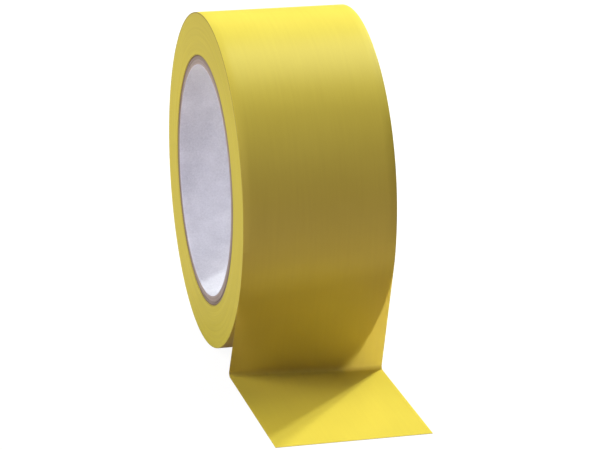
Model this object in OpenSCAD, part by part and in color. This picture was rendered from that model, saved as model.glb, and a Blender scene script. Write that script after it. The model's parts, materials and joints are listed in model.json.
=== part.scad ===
// Roll of wide PVC insulating tape on a spiral-wound paper core, standing on
// its rim with the free end pulled down the front and laid flat before it.
// The origin is the centre of the bore. The roll's axis runs along Y, the
// free end lies towards +X, and the roll stands on z = -roll_r.

/* [Tape] */
// Width of the tape, and so of the roll
tape_w = 50; // [12:1:75]
// Length of tape on the roll, in metres
tape_length_m = 33; // [5:1:66]
// Thickness of the PVC backing
backing_t = 0.1; // [0.08:0.01:0.2]
// Thickness of the adhesive under the backing
adhesive_t = 0.03; // [0.02:0.01:0.08]

/* [Paper core] */
// Diameter of the bore
bore_d = 76.2; // [25:0.1:77]
// Thickness of the white paper that lines the bore
liner_t = 0.2; // [0.1:0.05:0.4]
// Thickness of each grey board ply
ply_t = 0.55; // [0.3:0.05:0.8]
// Thickness of the outer ply that the tape is wound on
wrap_t = 0.3; // [0.2:0.05:0.5]

/* [Free end] */
// Angle below the axis at which the tape leaves the roll
peel_angle = 21; // [10:1:45]
// Arc of tape just lifted off the roll above that line, in degrees
lifted_arc = 6; // [3:1:20]
// Length of the end that lies flat in front of the roll
flap_len = 60; // [15:1:100]
// Clearance between the lifted tape and the roll
lift_gap = 0.1; // [0.05:0.01:0.3]
// Length left bare on each side of a fold, so that it can close
fold_gap = 0.5; // [0.4:0.05:1]

/* [Hidden] */
$fn = 180;

ply_count = 5;
cut_margin = 1;
tape_t = backing_t + adhesive_t;

// Radii of the core, from the bore outwards
bore_r = bore_d / 2;
board_r = bore_r + liner_t;
wrap_r = board_r + ply_count * ply_t;
core_r = wrap_r + wrap_t;

// The wound tape's area seen from the side is its length times its thickness
wound_area = tape_length_m * 1000 * tape_t;
roll_r = sqrt(core_r * core_r + wound_area / PI);

// The free end follows the middle of the tape's thickness
lifted_r = roll_r + lift_gap;
tail_r = lifted_r + tape_t / 2;
peel_x = tail_r * cos(peel_angle);
peel_z = -tail_r * sin(peel_angle);
crease_z = tape_t / 2 - roll_r;
web_len = (peel_z - crease_z) / cos(peel_angle);
crease_x = peel_x - web_len * sin(peel_angle);
fold_gap_angle = fold_gap / tail_r * 180 / PI;

// A tube round the roll's axis
module tube(inner_r, outer_r, width) {
    rotate([90, 0, 0])
        difference() {
            cylinder(r = outer_r, h = width, center = true);
            cylinder(r = inner_r, h = width + cut_margin, center = true);
        }
}

// The straight stretch from the peel line down to the crease. depth is the
// layer's distance from the face that looks at the roll.
module web_layer(depth, thickness) {
    translate([peel_x, 0, peel_z])
        rotate([0, peel_angle, 0])
            translate([depth - tape_t / 2, -tape_w / 2, fold_gap - web_len])
                cube([thickness, tape_w, web_len - 2 * fold_gap]);
}

// The end that lies flat, with rise measured up from its underside
module flap_layer(rise, thickness) {
    translate([crease_x + fold_gap, -tape_w / 2, rise - roll_r])
        cube([flap_len - fold_gap, tape_w, thickness]);
}

// The short arc just lifted off the roll, above the peel line
module lifted_layer(rise, thickness) {
    rotate([90, 0, 0])
        rotate([0, 0, fold_gap_angle - peel_angle])
            rotate_extrude(angle = lifted_arc)
                translate([lifted_r + rise, -tape_w / 2])
                    square([thickness, tape_w]);
}

// White paper on the wall of the bore
module core_liner() {
    color("#d9d9e3")
        tube(bore_r, board_r, tape_w);
}

// One layer of grey board, counted outwards from the liner
module core_ply(number) {
    inner_r = board_r + (number - 1) * ply_t;
    color("#968778")
        tube(inner_r, inner_r + ply_t, tape_w);
}

// Kraft ply that the tape is wound on
module core_wrap() {
    color("#8a7a63")
        tube(wrap_r, core_r, tape_w);
}

// All the laps of tape that are still on the core
module tape_winding() {
    color("#c9b948")
        tube(core_r, roll_r, tape_w);
}

module lifted_backing() {
    color("#d8c653")
        lifted_layer(adhesive_t, backing_t);
}

module lifted_adhesive() {
    color("#b9a95a")
        lifted_layer(0, adhesive_t);
}

module web_backing() {
    color("#d8c653")
        web_layer(adhesive_t, backing_t);
}

module web_adhesive() {
    color("#b9a95a")
        web_layer(0, adhesive_t);
}

module flap_backing() {
    color("#d8c653")
        flap_layer(adhesive_t, backing_t);
}

module flap_adhesive() {
    color("#b9a95a")
        flap_layer(0, adhesive_t);
}

core_liner();
core_ply(1);  // core_ply_1
core_ply(2);  // core_ply_2
core_ply(3);  // core_ply_3
core_ply(4);  // core_ply_4
core_ply(5);  // core_ply_5
core_wrap();
tape_winding();
lifted_backing();
lifted_adhesive();
web_backing();
web_adhesive();
flap_backing();
flap_adhesive();
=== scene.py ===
"""Looks for a roll of wide yellow PVC tape with its free end pulled down the front and laid flat.

The roll's axis runs along Y, the free end lies towards +X, and the roll stands on the floor.
"""

import json
import math
import random

import bmesh
import bpy
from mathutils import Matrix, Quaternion, Vector


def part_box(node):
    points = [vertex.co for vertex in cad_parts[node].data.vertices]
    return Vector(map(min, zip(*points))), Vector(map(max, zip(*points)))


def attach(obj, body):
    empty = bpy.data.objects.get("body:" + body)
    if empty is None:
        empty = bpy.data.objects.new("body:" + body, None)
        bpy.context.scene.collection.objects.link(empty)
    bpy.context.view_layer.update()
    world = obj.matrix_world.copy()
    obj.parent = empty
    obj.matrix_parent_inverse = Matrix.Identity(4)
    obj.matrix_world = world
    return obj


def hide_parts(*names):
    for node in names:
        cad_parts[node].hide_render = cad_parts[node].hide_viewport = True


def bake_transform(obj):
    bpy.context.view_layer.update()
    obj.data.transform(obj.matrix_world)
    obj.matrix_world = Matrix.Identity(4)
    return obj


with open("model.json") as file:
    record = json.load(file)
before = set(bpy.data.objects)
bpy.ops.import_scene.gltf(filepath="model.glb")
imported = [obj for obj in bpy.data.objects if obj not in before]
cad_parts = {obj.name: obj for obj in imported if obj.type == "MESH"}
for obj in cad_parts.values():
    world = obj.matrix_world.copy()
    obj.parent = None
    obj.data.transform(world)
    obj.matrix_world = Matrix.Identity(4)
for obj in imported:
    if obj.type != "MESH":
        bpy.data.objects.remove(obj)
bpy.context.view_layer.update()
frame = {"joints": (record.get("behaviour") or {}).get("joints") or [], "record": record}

MM = 0.001
FULL_TURN = 2 * math.pi
SAME_LINE = 1e-9


# ---------------------------------------------------------------- sizes from the frame

winding_low, winding_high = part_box("tape_winding")
ROLL_R = -winding_low.z
HALF_W = winding_high.y
CORE_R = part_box("core_wrap")[1].z
BORE_R = next(
    m["dims"]["r_mm"] * MM
    for m in frame["record"]["mounts"]
    if m["name"] == "core_bore"
)
CUT_EDGE_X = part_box("flap_backing")[1].x
joint_at = {j["name"]: Vector(j["pos_m"]) for j in frame["joints"]}
CREASE = joint_at["crease_fold"]
FLOOR_Z = -ROLL_R

BACKING_T = 0.1 * MM
ADHESIVE_T = 0.03 * MM
TAPE_T = BACKING_T + ADHESIVE_T
GLUE_GAP = 0.003 * MM


# ---------------------------------------------------------------- making meshes


def start_edit(kind="VERT"):
    bpy.ops.object.mode_set(mode="EDIT")
    bpy.ops.mesh.select_mode(type=kind)


def end_edit():
    bpy.ops.object.mode_set(mode="OBJECT")


def new_piece(name):
    """Names the primitive that was just added."""
    piece = bpy.context.object
    piece.name = piece.data.name = name
    return piece


def clear_selection():
    bpy.ops.object.select_all(action="DESELECT")


def make_active(piece):
    clear_selection()
    piece.select_set(True)
    bpy.context.view_layer.objects.active = piece


def pick_edges(piece, test):
    """In edit mode, selects the edges that a test accepts and nothing else."""
    mesh = bmesh.from_edit_mesh(piece.data)
    for group in (mesh.verts, mesh.edges, mesh.faces):
        for element in group:
            element.select = False
    for edge in mesh.edges:
        if test(edge):
            edge.select_set(True)
    bmesh.update_edit_mesh(piece.data)


def move_points(piece, place):
    """Moves each vertex of a piece to place(its position)."""
    for vertex in piece.data.vertices:
        vertex.co = place(vertex.co)
    piece.data.update()


def close_up(piece, join=0.002 * MM):
    """Merges doubled points and turns every face outwards."""
    start_edit()
    bpy.ops.mesh.select_all(action="SELECT")
    bpy.ops.mesh.remove_doubles(threshold=join)
    bpy.ops.mesh.normals_make_consistent(inside=False)
    end_edit()


def smooth(piece, degrees=30):
    make_active(piece)
    bpy.ops.object.shade_smooth_by_angle(angle=math.radians(degrees))


def ring_profile(name, inner_r, outer_r, near_y, far_y, rounding):
    """The outline of a ring's wall in the half plane x > 0, with rounded corners."""
    clear_selection()
    middle = ((inner_r + outer_r) / 2, (near_y + far_y) / 2, 0)
    bpy.ops.mesh.primitive_plane_add(size=1, location=(0, 0, 0))
    piece = new_piece(name)
    start_edit()
    bpy.ops.mesh.select_all(action="SELECT")
    bpy.ops.transform.resize(value=(outer_r - inner_r, far_y - near_y, 1))
    bpy.ops.transform.translate(value=middle)
    bpy.ops.mesh.bevel(offset=rounding, segments=2, affect="VERTICES")
    bpy.ops.mesh.select_all(action="SELECT")
    bpy.ops.mesh.delete(type="ONLY_FACE")
    end_edit()
    return piece


def runs_outward(least):
    """Accepts a profile's edges that run straight outwards for more than least."""

    def test(edge):
        first, second = (v.co for v in edge.verts)
        return abs(first.y - second.y) < SAME_LINE and abs(first.x - second.x) > least

    return test


def runs_across(edge):
    """Accepts a profile's edges that run along the axis for more than half the width."""
    first, second = (v.co for v in edge.verts)
    return abs(first.x - second.x) < SAME_LINE and abs(first.y - second.y) > HALF_W


def cut_edges(piece, test, cuts):
    """Divides the edges that the test accepts into equal lengths."""
    start_edit("EDGE")
    pick_edges(piece, test)
    bpy.ops.mesh.subdivide(number_cuts=cuts)
    end_edit()


def spin_round(piece, steps):
    """Spins the profile round the roll's axis into a closed ring."""
    start_edit()
    bpy.ops.mesh.select_all(action="SELECT")
    bpy.ops.mesh.spin(steps=steps, angle=FULL_TURN, center=(0, 0, 0), axis=(0, 1, 0))
    end_edit()
    close_up(piece)


def radius_of(point):
    return math.hypot(point.x, point.z)


def angle_of(point):
    """Angle round the axis, from +X towards +Z."""
    return math.atan2(point.z, point.x)


# ---------------------------------------------------------------- shader maths


def socket_of(value):
    return value.socket if isinstance(value, Varying) else value


class Varying:
    """A number that varies over a surface. Arithmetic on it adds Math nodes."""

    def __init__(self, finish, socket):
        self.finish, self.socket = finish, socket

    def maths(self, operation, *values):
        made = self.finish.add("ShaderNodeMath", {"operation": operation}, dict(enumerate(values)))
        return Varying(self.finish, made.outputs[0])

    def __add__(self, other):
        return self.maths("ADD", self, other)

    def __mul__(self, other):
        return self.maths("MULTIPLY", self, other)

    def __sub__(self, other):
        return self.maths("SUBTRACT", self, other)

    def __rsub__(self, other):
        return self.maths("SUBTRACT", other, self)

    def __truediv__(self, other):
        return self.maths("DIVIDE", self, other)

    def __pow__(self, other):
        return self.maths("POWER", self, other)

    __radd__, __rmul__ = __add__, __mul__

    def between(self, low, high):
        """0 below low, 1 above high, and smooth in between."""
        settings = {"interpolation_type": "SMOOTHSTEP"}
        limits = {"Value": self, "From Min": low, "From Max": high}
        made = self.finish.add("ShaderNodeMapRange", settings, limits)
        return Varying(self.finish, made.outputs["Result"])


class Finish:
    """A material under construction."""

    def __init__(self, name):
        self.material = bpy.data.materials.new(name)
        self.material.use_nodes = True
        self.tree = self.material.node_tree
        self.tree.nodes.clear()

    def add(self, kind, settings=None, inputs=None):
        """Adds a node, sets it up, and fills its sockets with values or links."""
        node = self.tree.nodes.new(kind)
        for key, value in (settings or {}).items():
            setattr(node, key, value)
        for key, value in (inputs or {}).items():
            value = socket_of(value)
            if isinstance(value, bpy.types.NodeSocket):
                self.tree.links.new(value, node.inputs[key])
            else:
                node.inputs[key].default_value = value
        return node

    def object_place(self):
        return self.add("ShaderNodeTexCoord").outputs["Object"]

    def along_tape(self):
        """Metres along the tape and across it, from the piece's own map."""
        return self.add("ShaderNodeUVMap", {"uv_map": "tape_run"}).outputs["UV"]

    def parts(self, place):
        split = self.add("ShaderNodeSeparateXYZ", None, {"Vector": place})
        return [Varying(self, out) for out in split.outputs]

    def round_axis(self, place):
        """Radius from the roll's axis, angle round it, and place along it."""
        x, y, z = self.parts(place)
        return (x * x + z * z) ** 0.5, z.maths("ARCTAN2", z, x), y

    def join(self, x, y, z):
        return self.add("ShaderNodeCombineXYZ", None, {"X": x, "Y": y, "Z": z}).outputs[0]

    def stretched(self, place, stretch):
        made = self.add("ShaderNodeMapping", None, {"Vector": place, "Scale": stretch})
        return made.outputs["Vector"]

    def noise(self, place, per_metre, detail=3.0, rough=0.5):
        inputs = {"Vector": place, "Scale": per_metre, "Detail": detail, "Roughness": rough}
        made = self.add("ShaderNodeTexNoise", {"noise_dimensions": "3D"}, inputs)
        return Varying(self, made.outputs[0])

    def blend(self, share, first, second):
        """A colour that goes from first to second as share goes from 0 to 1."""
        inputs = {"Factor": share, 6: self.colour(first), 7: self.colour(second)}
        return self.add("ShaderNodeMix", {"data_type": "RGBA"}, inputs).outputs[2]

    @staticmethod
    def colour(value):
        return (*value, 1) if isinstance(value, tuple) and len(value) == 3 else value

    def bump(self, height, depth, strength=1.0, before=None):
        inputs = {"Height": height, "Distance": depth, "Strength": strength}
        if before is not None:
            inputs["Normal"] = before
        return self.add("ShaderNodeBump", None, inputs).outputs[0]

    def principled(self, **inputs):
        named = {key.replace("_", " "): value for key, value in inputs.items()}
        return self.add("ShaderNodeBsdfPrincipled", None, named).outputs[0]

    def done(self, shader):
        output = self.add("ShaderNodeOutputMaterial", None, {"Surface": shader})
        output.is_active_output = True
        return self.material


# ---------------------------------------------------------------- finishes

TAPE_YELLOW = (0.86, 0.745, 0.120)
TAPE_YELLOW_DEEP = (0.80, 0.68, 0.104)
FREE_YELLOW = (0.93, 0.80, 0.112)
FREE_YELLOW_DEEP = (0.86, 0.725, 0.102)
SATIN = {"IOR": 1.5, "Specular IOR Level": 0.30}
EDGE_YELLOW = (0.75, 0.690, 0.076)
EDGE_OLIVE = (0.61, 0.555, 0.056)
# Painted shade colour for the tape's end faces: the rim, the line next to the core and the top.
EDGE_PAINTED_SHADE = (0.24, 0.19, 0.035)
GLUE_YELLOW = (0.72, 0.60, 0.10)
GLUE_PALE = (0.80, 0.68, 0.14)
THROUGH_FACE = (1.0, 0.90, 0.38)
THROUGH_INSIDE = (1.0, 0.96, 0.75)
THROUGH_GLUE = (1.0, 0.98, 0.85)
PAPER_SHADE = (0.66, 0.68, 0.76)
PAPER_WHITE = (0.89, 0.91, 0.99)
PAPER_SPECK = (0.45, 0.42, 0.40)
LIFT_FROM = 6 * MM
LIFT_TO = 18 * MM
FACE_LETS_THROUGH = 0.31
INSIDE_LETS_THROUGH = 0.85


def satin_pattern(finish, place, pale, deep):
    """Colour, roughness and bump shared by every outer face of the tape."""
    cloudy = finish.noise(place, 45.0, 3.0)
    streaks = finish.noise(finish.stretched(place, (0.05, 1.0, 1.0)), 900.0, 2.0)
    grain = finish.noise(place, 3500.0, 2.0, 0.6)
    share = (cloudy - 0.5) * 1.0 + (streaks - 0.5) * 0.8 + (grain - 0.5) * 1.0 + 0.5
    colour = finish.blend(share, deep, pale)
    roughness = 0.34 + (cloudy - 0.5) * 0.12 + (grain - 0.5) * 0.10
    waves = finish.bump(finish.noise(place, 70.0, 1.0), 0.10 * MM, 0.5)
    lines = finish.bump(streaks, 0.014 * MM, 0.7, waves)
    normal = finish.bump(grain, 0.012 * MM, 0.8, lines)
    return colour, roughness, normal


def wound_face_finish():
    """The outermost lap, with all the laps under it."""
    finish = Finish("satin_tape")
    place = finish.along_tape()
    colour, roughness, normal = satin_pattern(finish, place, TAPE_YELLOW, TAPE_YELLOW_DEEP)
    body = finish.principled(Base_Color=colour, Roughness=roughness, Normal=normal, **SATIN)
    return finish.done(body)


def lifted_share(finish, place):
    """0 where the tape still lies on the roll, 1 where it hangs free of it."""
    run = finish.parts(place)[0]
    return (0 - run).between(LIFT_FROM, LIFT_TO)


def let_through(finish, body, colour, share):
    """Mixes in the light that comes through the tape from behind."""
    glow = finish.add("ShaderNodeBsdfTranslucent", None, {"Color": finish.colour(colour)})
    mix = finish.add("ShaderNodeMixShader", None, {0: share, 1: body, 2: glow.outputs[0]})
    return finish.done(mix.outputs[0])


def free_tape_finish():
    """The satin face of one thickness of tape, which light shines through where it hangs free."""
    finish = Finish("satin_tape_single")
    place = finish.along_tape()
    lifted = lifted_share(finish, place)
    pale = finish.blend(lifted, TAPE_YELLOW, FREE_YELLOW)
    deep = finish.blend(lifted, TAPE_YELLOW_DEEP, FREE_YELLOW_DEEP)
    colour, roughness, normal = satin_pattern(finish, place, pale, deep)
    body = finish.principled(Base_Color=colour, Roughness=roughness, Normal=normal, **SATIN)
    return let_through(finish, body, THROUGH_FACE, lifted * FACE_LETS_THROUGH)


def tape_inside_finish():
    """The backing's inner face, under the glue."""
    finish = Finish("tape_inside")
    place = finish.along_tape()
    dabs = finish.noise(place, 260.0, 3.0)
    colour = finish.blend(dabs, TAPE_YELLOW_DEEP, TAPE_YELLOW)
    body = finish.principled(Base_Color=colour, Roughness=0.6)
    share = lifted_share(finish, place) * INSIDE_LETS_THROUGH
    return let_through(finish, body, THROUGH_INSIDE, share)


def glue_finish():
    """The clear rubbery coat under the backing."""
    finish = Finish("tape_glue")
    place = finish.along_tape()
    dabs = finish.noise(place, 260.0, 3.0)
    lines = finish.noise(finish.stretched(place, (0.08, 1.0, 1.0)), 700.0, 2.0)
    colour = finish.blend(dabs * 0.6 + lines * 0.4, GLUE_YELLOW, GLUE_PALE)
    normal = finish.bump(dabs * 0.7 + lines * 0.5, 0.02 * MM, 0.8)
    body = finish.principled(Base_Color=colour, Roughness=0.22 + dabs * 0.15, Normal=normal, IOR=1.47)
    share = lifted_share(finish, place) * INSIDE_LETS_THROUGH
    return let_through(finish, body, THROUGH_GLUE, share)


def wound_edge_finish():
    """The slit edges of all the laps, with the glue line between each two, and painted shade along
    the outer rim, next to the core and towards the top.
    """
    finish = Finish("tape_edges")
    place = finish.object_place()
    radius, turn, y = finish.round_axis(place)
    height = finish.parts(place)[2] / ROLL_R
    lap = (radius - CORE_R) / TAPE_T + turn / FULL_TURN
    line = lap.maths("PINGPONG", lap, 0.5) * 2
    bands = finish.noise(finish.join(radius * 6000, turn * 1.5, 0.0), 1.0, 3.0, 0.6)
    broad = finish.noise(finish.join(radius * 900, turn * 0.8, y * 40), 1.0, 2.0)
    grain = finish.noise(place, 3000.0, 2.0, 0.6)
    share = (bands - 0.5) * 0.9 + (broad - 0.5) * 0.8 + (grain - 0.5) * 0.6 + 0.35 + line * 0.3
    laps = finish.blend(share, EDGE_OLIVE, EDGE_YELLOW)
    # Painted shade: the end face is darkened in a thin band at its outer rim, more on its upper half,
    # in a thin line next to the core, and a little towards the top.
    rim = radius.between(ROLL_R - 0.55 * MM, ROLL_R - 0.15 * MM)
    core_line_painted_shade = 1 - radius.between(CORE_R + 0.10 * MM, CORE_R + 0.50 * MM)
    upper = 0.25 + height.between(-0.1, 0.5) * 0.75
    top = height.between(0.45, 1.0)
    shade = rim * upper * 0.75 + core_line_painted_shade * 0.5 + top * 0.14
    colour = finish.blend(shade, laps, EDGE_PAINTED_SHADE)
    roughness = 0.5 + (grain - 0.5) * 0.2
    rings = finish.bump(line * 0.4 + bands, 0.02 * MM, 0.5)
    normal = finish.bump(grain, 0.02 * MM, 0.5, rings)
    body = finish.principled(Base_Color=colour, Roughness=roughness, Normal=normal, **SATIN)
    return finish.done(body)


def board_finish(name, light, dark, seed):
    """Grey board cut across, with its fibres lying round the core."""
    finish = Finish(name)
    place = finish.object_place()
    radius, turn, y = finish.round_axis(place)
    fibres = finish.noise(finish.join(radius * 9000, turn * 60, y * 3000 + seed), 1.0, 4.0, 0.65)
    blotches = finish.noise(place, 220.0, 3.0)
    pulp = finish.noise(place, 2600.0, 3.0, 0.7)
    share = (fibres - 0.5) * 1.2 + (blotches - 0.5) * 0.6 + (pulp - 0.5) * 0.8 + 0.5
    colour = finish.blend(share, dark, light)
    first = finish.bump(fibres, 0.06 * MM, 0.7)
    normal = finish.bump(pulp, 0.05 * MM, 0.6, first)
    roughness = 0.85 + (pulp - 0.5) * 0.2
    body = finish.principled(Base_Color=colour, Roughness=roughness, Normal=normal, IOR=1.4)
    return finish.done(body)


def liner_finish():
    """Smooth white paper, wound in a spiral on the wall of the bore."""
    finish = Finish("white_liner_paper")
    place = finish.object_place()
    clouds = finish.noise(place, 90.0, 4.0, 0.6)
    fibres = finish.noise(place, 1600.0, 4.0, 0.7)
    specks = finish.noise(place, 5200.0, 1.0).between(0.68, 0.80)
    share = (clouds - 0.5) * 1.8 + (fibres - 0.5) * 1.6 + 0.50
    paper = finish.blend(share, PAPER_SHADE, PAPER_WHITE)
    colour = finish.blend(specks * 0.3, paper, PAPER_SPECK)
    first = finish.bump(clouds, 0.35 * MM, 0.7)
    normal = finish.bump(fibres, 0.05 * MM, 0.7, first)
    roughness = 0.62 + (fibres - 0.5) * 0.2
    body = finish.principled(Base_Color=colour, Roughness=roughness, Normal=normal, IOR=1.45)
    return finish.done(body)


# ---------------------------------------------------------------- the wound tape

SPIN_STEPS = 240
LAP_COUNT = 108
FACE_CUTS = 15
CORNER_ROUNDING = 0.10 * MM
TAIL_START = math.radians(-7.5)


def lap_edges(seed):
    """How far each lap's edge stands proud of or below the roll's side face."""
    chance, offsets, drift = random.Random(seed), [], 0.0
    for _ in range(LAP_COUNT + 1):
        drift = 0.93 * drift + chance.gauss(0, 0.010)
        offsets.append((drift + chance.gauss(0, 0.003)) * MM)
    return offsets


def wound_tape():
    piece = ring_profile("wound_tape", CORE_R, ROLL_R, -HALF_W, HALF_W, CORNER_ROUNDING)
    cut_edges(piece, runs_outward((ROLL_R - CORE_R) / 2), LAP_COUNT - 1)
    cut_edges(piece, runs_across, FACE_CUTS)
    spin_round(piece, SPIN_STEPS)
    edges = {side: lap_edges(seed) for side, seed in ((-1, 11), (1, 23))}

    def stagger(point):
        inside = HALF_W - abs(point.y)
        radius = radius_of(point)
        if inside > CORNER_ROUNDING * 0.2:
            return point
        if not CORE_R + CORNER_ROUNDING < radius < ROLL_R - CORNER_ROUNDING / 2:
            return point
        side = 1 if point.y > 0 else -1
        lap = (radius - CORE_R) / (ROLL_R - CORE_R) * LAP_COUNT
        fade = min(1.0, lap / 3, (LAP_COUNT - lap) / 3)
        sway = 0.6 + 0.4 * math.cos(angle_of(point) * 2 + lap * 0.06)
        shift = edges[side][int(lap)] * sway * fade
        return Vector((point.x, point.y + side * shift, point.z))

    move_points(piece, stagger)
    smooth(piece, 40)
    piece.data.materials.append(wound_face_finish())
    piece.data.materials.append(wound_edge_finish())
    for face in piece.data.polygons:
        face.material_index = 1 if abs(face.normal.y) > 0.5 else 0
    map_round(piece)
    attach(piece, "roll")
    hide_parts("tape_winding")


def map_round(piece):
    """Lays the tape's own map on the ring, from where the free end starts."""
    run = piece.data.uv_layers.new(name="tape_run").data
    mesh = piece.data
    for face in mesh.polygons:
        middle = (angle_of(face.center) - TAIL_START) % FULL_TURN
        for loop in face.loop_indices:
            point = mesh.vertices[mesh.loops[loop].vertex_index].co
            turn = (angle_of(point) - TAIL_START) % FULL_TURN
            if turn - middle > math.pi:
                turn -= FULL_TURN
            elif middle - turn > math.pi:
                turn += FULL_TURN
            run[loop].uv = (turn * ROLL_R, point.y)


# ---------------------------------------------------------------- the core

CORE_STEPS = 180
PLY_CUTS = 3
RUFFLE = 0.012 * MM
LINING_CUTS = 24
SPIRAL_TURN = math.radians(52)
SPIRAL_START = math.radians(350)
JOINT_HALF_W = 0.22 * MM
JOINT_DEPTH = 0.08 * MM
NEAR_WALL = 0.02 * MM
BOARD_SHADES = (
    (0.56, 0.50, 0.44),
    (0.47, 0.41, 0.35),
    (0.50, 0.44, 0.38),
    (0.38, 0.325, 0.27),
    (0.36, 0.305, 0.25),
)
BOARD_DARKER = 0.72
KRAFT_PALE = (0.26, 0.20, 0.13)
KRAFT_DARK = (0.16, 0.12, 0.08)


def core_ring(name, node, walls, set_back, rounding, material):
    """One paper layer of the core, its ends cut a little below the roll's side faces."""
    inner_r, outer_r = walls
    near, far = set_back
    piece = ring_profile(name, inner_r, outer_r, -HALF_W + near, HALF_W - far, rounding)
    chance = random.Random(name)
    cut_edges(piece, runs_outward((outer_r - inner_r) / 3), PLY_CUTS)
    spin_round(piece, CORE_STEPS)
    phase = [chance.uniform(0, FULL_TURN) for _ in range(4)]

    def ruffle(point):
        if HALF_W - abs(point.y) > max(near, far) + rounding * 0.3:
            return point
        turn = angle_of(point)
        radius = radius_of(point)
        lift = sum(math.sin(turn * n * 3 + phase[n] + radius * 4000 * n) for n in range(1, 4))
        side = 1 if point.y > 0 else -1
        return Vector((point.x, point.y + side * lift * RUFFLE, point.z))

    move_points(piece, ruffle)
    smooth(piece, 40)
    piece.data.materials.append(material)
    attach(piece, "roll")
    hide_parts(node)


def board_plies():
    """The grey board plies, each a spun layer of its own."""
    chance = random.Random(5)
    for number, shade in enumerate(BOARD_SHADES, 1):
        node = f"core_ply_{number}"
        outer_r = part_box(node)[1].z
        inner_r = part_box("core_liner" if number == 1 else f"core_ply_{number - 1}")[1].z
        dark = tuple(c * BOARD_DARKER for c in shade)
        material = board_finish(f"grey_board_{number}", shade, dark, number * 7.0)
        set_back = (chance.uniform(0.10, 0.24) * MM, chance.uniform(0.10, 0.24) * MM)
        walls = (inner_r + GLUE_GAP, outer_r)
        name = f"board_ply_{number}"
        core_ring(name, node, walls, set_back, 0.06 * MM, material)


def kraft_wrap():
    walls = (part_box("core_ply_5")[1].z + GLUE_GAP, CORE_R - GLUE_GAP)
    set_back = (0.20 * MM, 0.22 * MM)
    material = board_finish("kraft_wrap_paper", KRAFT_PALE, KRAFT_DARK, 3.0)
    core_ring("kraft_wrap", "core_wrap", walls, set_back, 0.05 * MM, material)


def bore_lining():
    """White paper on the wall of the bore, with the spiral joint between its turns."""
    outer_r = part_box("core_liner")[1].z
    near_y, far_y = -HALF_W + 0.08 * MM, HALF_W - 0.10 * MM
    piece = ring_profile("bore_lining", BORE_R, outer_r, near_y, far_y, 0.05 * MM)
    cut_edges(piece, runs_across, LINING_CUTS)
    spin_round(piece, CORE_STEPS)
    lean = SPIRAL_TURN / HALF_W

    def twist(point):
        turn = angle_of(point) + point.y * lean
        radius = radius_of(point)
        return Vector((radius * math.cos(turn), point.y, radius * math.sin(turn)))

    move_points(piece, twist)
    make_active(piece)
    inner_r = min(radius_of(v.co) for v in piece.data.vertices)

    def on_joint(edge):
        points = [v.co for v in edge.verts]
        turns = [(angle_of(p) - p.y * lean - SPIRAL_START) % FULL_TURN for p in points]
        near = [min(t, FULL_TURN - t) < math.radians(0.5) for t in turns]
        return all(near) and all(radius_of(p) < inner_r + NEAR_WALL for p in points)

    start_edit("EDGE")
    pick_edges(piece, on_joint)
    bpy.ops.mesh.bevel(offset=JOINT_HALF_W, segments=2, affect="EDGES", clamp_overlap=False)
    end_edit()

    def sink(point):
        turn = (angle_of(point) - point.y * lean - SPIRAL_START) % FULL_TURN
        away = min(turn, FULL_TURN - turn)
        if away < math.radians(0.05) and radius_of(point) < inner_r + NEAR_WALL:
            deeper = 1 + JOINT_DEPTH / inner_r
            return Vector((point.x * deeper, point.y, point.z * deeper))
        return point

    move_points(piece, sink)
    smooth(piece, 30)
    piece.data.materials.append(liner_finish())
    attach(piece, "roll")
    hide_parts("core_liner")


# ---------------------------------------------------------------- the free end

BEND_R = 1.2 * MM
CREASE_SKEW = 2.6 * MM
START_R = ROLL_R + 0.008 * MM - TAPE_T / 2
LEAVE_R = ROLL_R + 0.02 * MM + TAPE_T / 2
MID_Z = FLOOR_Z + TAPE_T / 2


class Fibre:
    """The line that the middle of the tape follows at one place across its width."""

    def __init__(self, across):
        crease_x = CREASE.x + CREASE_SKEW * across / HALF_W
        reach = math.hypot(crease_x, MID_Z)
        self.leave = math.atan2(MID_Z, crease_x) + math.acos(LEAVE_R / reach)
        self.off = Vector((LEAVE_R * math.cos(self.leave), 0, LEAVE_R * math.sin(self.leave)))
        crease = Vector((crease_x, 0, MID_Z))
        self.down = (crease - self.off).normalized()
        self.turn = FULL_TURN / 2 - self.down.angle(Vector((-1, 0, 0)))
        self.trim = BEND_R * math.tan(self.turn / 2)
        self.bend_start = crease - self.down * self.trim
        self.bend_end = crease + Vector((self.trim, 0, 0))
        self.web_half = (self.bend_start - self.off).length / 2

    def over(self, share):
        """Where the tape still lies on the roll: share 0 at its start, 1 at the peel line."""
        turn = TAIL_START + (self.leave - TAIL_START) * share
        ease = share * share * (3 - 2 * share)
        radius = START_R + (LEAVE_R - START_R) * ease
        out = Vector((math.cos(turn), 0, math.sin(turn)))
        return out * radius, out

    def out_of_web(self):
        return Vector((-self.down.z, 0, self.down.x))

    def web_top(self, share):
        return self.off + self.down * self.web_half * share, self.out_of_web()

    def web_foot(self, share):
        return self.off + self.down * self.web_half * (1 + share), self.out_of_web()

    def bend(self, share):
        out = Quaternion((0, -1, 0), self.turn * share) @ self.out_of_web()
        centre = self.bend_end + Vector((0, 0, BEND_R))
        return centre - out * BEND_R, out

    def flat(self, share):
        end = Vector((CUT_EDGE_X, 0, MID_Z))
        return self.bend_end.lerp(end, share), Vector((0, 0, 1))


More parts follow.
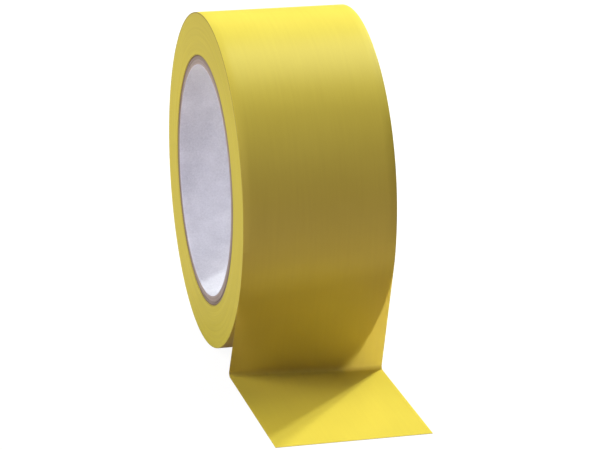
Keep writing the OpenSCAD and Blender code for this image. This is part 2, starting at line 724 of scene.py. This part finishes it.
def strip(name, stretches, thickness, height, materials, columns=40):
    """A sheet that follows each stretch in turn, its outer face height above the tape's middle."""
    rows = sum(count for _, count in stretches)
    clear_selection()
    bpy.ops.mesh.primitive_grid_add(x_subdivisions=rows, y_subdivisions=columns, size=2)
    piece = new_piece(name)
    points = {}
    for column in range(columns + 1):
        across = HALF_W * (2 * column / columns - 1)
        fibre = Fibre(across)
        line = []
        for number, (stretch, count) in enumerate(stretches):
            first = 0 if number == 0 else 1
            line += [getattr(fibre, stretch)(step / count) for step in range(first, count + 1)]
        for row, (point, out) in enumerate(line):
            points[row, column] = point + out * height + Vector((0, across, 0))
    run_at = run_lengths(stretches)
    mesh = piece.data
    keys = {}
    for vertex in mesh.vertices:
        row = round((vertex.co.x + 1) / 2 * rows)
        column = round((vertex.co.y + 1) / 2 * columns)
        keys[vertex.index] = (row, column)
        vertex.co = points[row, column]
    mesh.uv_layers[0].name = "tape_run"
    for loop in mesh.loops:
        row, column = keys[loop.vertex_index]
        across = HALF_W * (2 * column / columns - 1)
        mesh.uv_layers[0].data[loop.index].uv = (run_at[row], across)
    mesh.update()
    make_active(piece)
    wall = piece.modifiers.new("wall", "SOLIDIFY")
    wall.thickness, wall.offset, wall.use_even_offset = thickness, -1, True
    wall.material_offset = len(materials) - 1
    for material in materials:
        mesh.materials.append(material)
    bpy.ops.object.modifier_apply(modifier=wall.name)
    smooth(piece, 50)
    return piece


def run_lengths(stretches):
    """How far along the tape each row lies: 0 where the free end starts, and less below."""
    fibre, order = Fibre(0.0), ("over", "web_top", "web_foot", "bend", "flat")
    lengths = {
        "over": (TAIL_START - fibre.leave) * ROLL_R,
        "web_top": fibre.web_half,
        "web_foot": fibre.web_half,
        "bend": fibre.turn * BEND_R,
        "flat": CUT_EDGE_X - fibre.bend_end.x,
    }
    at = -sum(lengths[name] for name in order[: order.index(stretches[0][0])])
    runs = [at]
    for name, count in stretches:
        runs += [runs[-1] - lengths[name] * (step + 1) / count for step in range(count)]
    return runs


def free_end():
    """The strip is in two lengths, backing and glue for each, that meet on the web."""
    face = TAPE_T / 2
    glue_face = face - BACKING_T - GLUE_GAP
    glue_t = ADHESIVE_T - GLUE_GAP
    tape, glue = (free_tape_finish(), tape_inside_finish()), (glue_finish(),)
    upper = (("over", 30), ("web_top", 44))
    lower = (("web_foot", 40), ("bend", 24), ("flat", 90))
    over_backing = strip("over_backing", upper, BACKING_T, face, tape)
    over_adhesive = strip("over_adhesive", upper, glue_t, glue_face, glue)
    end_backing = strip("end_backing", lower, BACKING_T, face, tape)
    end_adhesive = strip("end_adhesive", lower, glue_t, glue_face, glue)
    middle = Fibre(0.0)
    for piece, slot in ((over_backing, "tape_backing"), (over_adhesive, "tape_adhesive")):
        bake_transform(piece)
    for piece, slot in ((end_backing, "tape_backing"), (end_adhesive, "tape_adhesive")):
        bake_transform(piece)
    run_at = run_lengths(upper + lower)
    cut_at = run_at[sum(count for _, count in upper)]
    over_length, end_length = run_at[0] - cut_at, cut_at - run_at[-1]
    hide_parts("lifted_backing", "web_backing")
    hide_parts("lifted_adhesive", "web_adhesive")
    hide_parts("web_backing", "flap_backing")
    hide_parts("web_adhesive", "flap_adhesive")


# ---------------------------------------------------------------- studio


def stage_finish(name, colour, glow):
    finish = Finish(name)
    cloudy = finish.noise(finish.object_place(), 1.5, 2.0)
    base = finish.blend(cloudy, tuple(c * 0.97 for c in colour), colour)
    glowing = {"Emission_Color": (1, 1, 1, 1), "Emission_Strength": glow}
    return finish.done(finish.principled(Base_Color=base, Roughness=0.9, **glowing))


def floor_sheet(name, drop, material):
    clear_selection()
    bpy.ops.mesh.primitive_plane_add(size=14, location=(0, 0, FLOOR_Z - drop))
    piece = new_piece(name)
    piece.data.materials.append(material)
    return piece


def seen_by_camera_only(piece):
    piece.visible_diffuse = piece.visible_glossy = False
    piece.visible_transmission = piece.visible_volume_scatter = False
    piece.visible_shadow = False


def studio_floor():
    """A pale floor: one sheet is seen, and the one just below it gives the light back."""
    pale = stage_finish("pale_floor", (0.10, 0.10, 0.10), 0.94)
    seen_by_camera_only(floor_sheet("floor", 0.1 * MM, pale))
    grey = stage_finish("grey_bounce", (0.42, 0.33, 0.34), 0.0)
    bounce = floor_sheet("floor_bounce", 0.3 * MM, grey)
    bounce.visible_camera = False
    clear_selection()
    bpy.ops.mesh.primitive_uv_sphere_add(segments=48, ring_count=24, radius=9)
    backdrop = new_piece("backdrop")
    backdrop.data.materials.append(stage_finish("pale_backdrop", (0.02, 0.02, 0.02), 1.0))
    seen_by_camera_only(backdrop)


def toward(azimuth, elevation):
    """The direction at that azimuth from +X towards +Y, and that height, in degrees."""
    turn, rise = math.radians(azimuth), math.radians(elevation)
    level = math.cos(rise)
    return Vector((math.cos(turn) * level, math.sin(turn) * level, math.sin(rise)))


def soft_light(name, azimuth, elevation, distance, size, power, colour):
    data = bpy.data.lights.new(name, "AREA")
    data.shape, data.size, data.size_y = "RECTANGLE", *size
    data.energy, data.color = power, colour
    light = bpy.data.objects.new(name, data)
    bpy.context.scene.collection.objects.link(light)
    out = toward(azimuth, elevation)
    light.location = out * distance
    light.rotation_mode = "QUATERNION"
    light.rotation_quaternion = out.to_track_quat("Z", "Y")
    light.visible_camera = False


# azimuth and height in degrees, distance and width by length in metres, watts, colour
LIGHTS = {
    "key_strip": (134, 19, 2.2, (0.10, 0.44), 55.0, (0.98, 1.0, 0.78)),
    "back_right": (123, 37, 2.0, (0.09, 0.09), 24.0, (0.97, 1.0, 0.96)),
    "top_back": (120, 68, 1.8, (1.0, 0.9), 14.9, (1.0, 0.97, 0.54)),
    "left_high": (262, 42, 1.5, (0.7, 0.8), 9.0, (1.0, 0.97, 0.90)),
    "left_low": (280, 25, 1.5, (0.7, 0.7), 9.0, (1.0, 0.93, 1.05)),
    "front_fill": (-28, 16, 2.4, (1.4, 1.2), 3.4, (0.36, 0.24, 1.0)),
}
AMBIENT = (0.004, 0.004, 0.012)


def studio_light():
    for name, settings in LIGHTS.items():
        soft_light(name, *settings)
    world = bpy.data.worlds.new("studio")
    bpy.context.scene.world = world
    world.use_nodes = True
    background = world.node_tree.nodes["Background"]
    background.inputs["Color"].default_value = (*AMBIENT, 1)
    background.inputs["Strength"].default_value = 1.0


CAMERA_AZIMUTH = -14.70
CAMERA_ELEVATION = 18.04
CAMERA_TILT = math.radians(0.53)
CAMERA_AIM = Vector((6.82, 6.05, -15.54)) * MM
CAMERA_DISTANCE = 943.4 * MM
CAMERA_LENS = 170.65


def camera():
    data = bpy.data.cameras.new("camera")
    seen = bpy.data.objects.new("camera", data)
    bpy.context.scene.collection.objects.link(seen)
    back = toward(CAMERA_AZIMUTH, CAMERA_ELEVATION)
    seen.location = CAMERA_AIM + back * CAMERA_DISTANCE
    seen.rotation_mode = "QUATERNION"
    seen.rotation_quaternion = back.to_track_quat("Z", "Y") @ Quaternion((0, 0, 1), CAMERA_TILT)
    data.sensor_width, data.lens = 36.0, CAMERA_LENS
    data.clip_start, data.clip_end = 0.05, 60.0
    bpy.context.scene.camera = seen


# ---------------------------------------------------------------- everything

wound_tape()
board_plies()
kraft_wrap()
bore_lining()
free_end()
studio_floor()
studio_light()
camera()
bpy.context.scene.view_settings.view_transform = "Standard"
